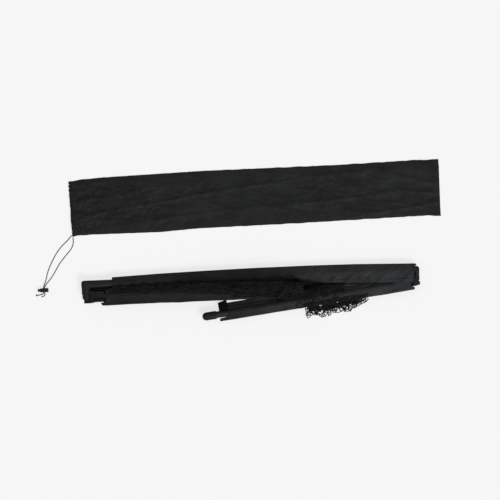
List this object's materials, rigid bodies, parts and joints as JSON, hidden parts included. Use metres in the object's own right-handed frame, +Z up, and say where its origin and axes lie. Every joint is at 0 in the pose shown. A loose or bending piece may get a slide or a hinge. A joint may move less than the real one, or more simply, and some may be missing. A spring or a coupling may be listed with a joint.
{
  "type": "folding floorball goal",
  "caption": "Small folding floorball goal lying folded flat: crossbar and two hinged posts in cloth sleeves, gathered net, hinged ground runners, and its carry bag with draw cord.",
  "frame": {"origin": "on the ground under the middle of the goal and bag together, without the loose draw cord", "axes": "+X along the crossbar towards the goal's right corner, +Y from the goal towards the bag, +Z up off the ground, which is the front of the goal as it lies"},
  "size_m": [1.09, 0.4056, 0.0846],
  "materials": {
    "frame_paint": "satin black powder coat",
    "elbow_plastic": "moulded black, fine grain",
    "fitting_plastic": "moulded black, ribbed",
    "foot_plastic": "moulded black, matt",
    "pin_steel": "plain zinc-plated",
    "spring_steel": "drawn wire",
    "sleeve_cloth": "coated plain weave",
    "bag_cloth": "thin coated plain weave, creased",
    "net_twine": "braided twine",
    "draw_cord": "round braid",
    "lock_plastic": "smooth black"
  },
  "bodies": {
    "crossbar": {"crossbar_tube": "frame_paint", "crossbar_sleeve": "sleeve_cloth", "left_elbow": "elbow_plastic", "right_elbow": "elbow_plastic", "left_elbow_rivet": "pin_steel", "right_elbow_rivet": "pin_steel", "left_hinge_pin": "pin_steel", "right_hinge_pin": "pin_steel", "left_lock_spring": "spring_steel", "right_lock_spring": "spring_steel", "net_roll": "net_twine"},
    "left_post": {"left_post_fitting": "fitting_plastic", "left_post_tube": "frame_paint", "left_post_sleeve": "sleeve_cloth", "left_foot_cap": "foot_plastic", "left_foot_block": "foot_plastic", "left_runner_pin": "pin_steel", "left_foot_rivet": "pin_steel", "left_post_rivet": "pin_steel"},
    "right_post": {"right_post_fitting": "fitting_plastic", "right_post_tube": "frame_paint", "right_post_sleeve": "sleeve_cloth", "right_foot_cap": "foot_plastic", "right_foot_block": "foot_plastic", "right_runner_pin": "pin_steel", "right_foot_rivet": "pin_steel", "right_post_rivet": "pin_steel", "net_spill": "net_twine"},
    "left_runner": {"left_runner_rod": "frame_paint", "left_runner_cap": "foot_plastic"},
    "right_runner": {"right_runner_rod": "frame_paint", "right_runner_cap": "foot_plastic"},
    "left_lock": {"left_lock_bolt": "pin_steel"},
    "right_lock": {"right_lock_bolt": "pin_steel"},
    "bag": {"carry_bag": "bag_cloth", "draw_cord_upper": "draw_cord", "draw_cord_lower": "draw_cord", "cord_tail_upper": "draw_cord", "cord_tail_lower": "draw_cord", "cord_lock_barrel": "lock_plastic", "cord_lock_spring": "spring_steel", "cord_knot": "draw_cord"},
    "cord_lock": {"cord_lock_button": "lock_plastic"}
  },
  "joints": [
    {"name": "left_post_fold", "type": "hinge", "parent": "crossbar", "child": "left_post", "pos_m": [-0.46105, -0.12227, 0.017], "axis": [0.0837, 0, -0.9965], "range_deg": [0, 90], "deforming": ["net_roll", "net_spill"]},
    {"name": "right_post_fold", "type": "hinge", "parent": "crossbar", "child": "right_post", "pos_m": [0.41745, -0.12227, 0.017], "axis": [0, 0, 1], "range_deg": [0, 83.25], "deforming": ["net_roll", "net_spill"]},
    {"name": "left_runner_fold", "type": "hinge", "parent": "left_post", "child": "left_runner", "pos_m": [0.05521, -0.13128, 0.04931], "axis": [0, -1, 0], "range_deg": [0, 90]},
    {"name": "right_runner_fold", "type": "hinge", "parent": "right_post", "child": "right_runner", "pos_m": [-0.09717, -0.17412, 0.006], "axis": [-0.1175, 0.9931, 0], "range_deg": [0, 90]},
    {"name": "left_lock_lift", "type": "slide", "parent": "crossbar", "child": "left_lock", "axis": [0, 1, 0], "range_m": [0, 0.0035], "stiffness_N_per_m": 500, "springref_m": -0.004, "deforming": ["left_lock_spring"]},
    {"name": "right_lock_lift", "type": "slide", "parent": "crossbar", "child": "right_lock", "axis": [0, 1, 0], "range_m": [0, 0.0035], "stiffness_N_per_m": 500, "springref_m": -0.004, "deforming": ["right_lock_spring"]},
    {"name": "bag_lift", "type": "slide", "parent": "crossbar", "child": "bag", "axis": [0, 0, 1], "range_m": [0, 0.2]},
    {"name": "cord_lock_press", "type": "slide", "parent": "bag", "child": "cord_lock", "axis": [1, 0, 0], "range_m": [0, 0.003], "stiffness_N_per_m": 700, "springref_m": -0.002, "deforming": ["cord_lock_spring"]}
  ]
}
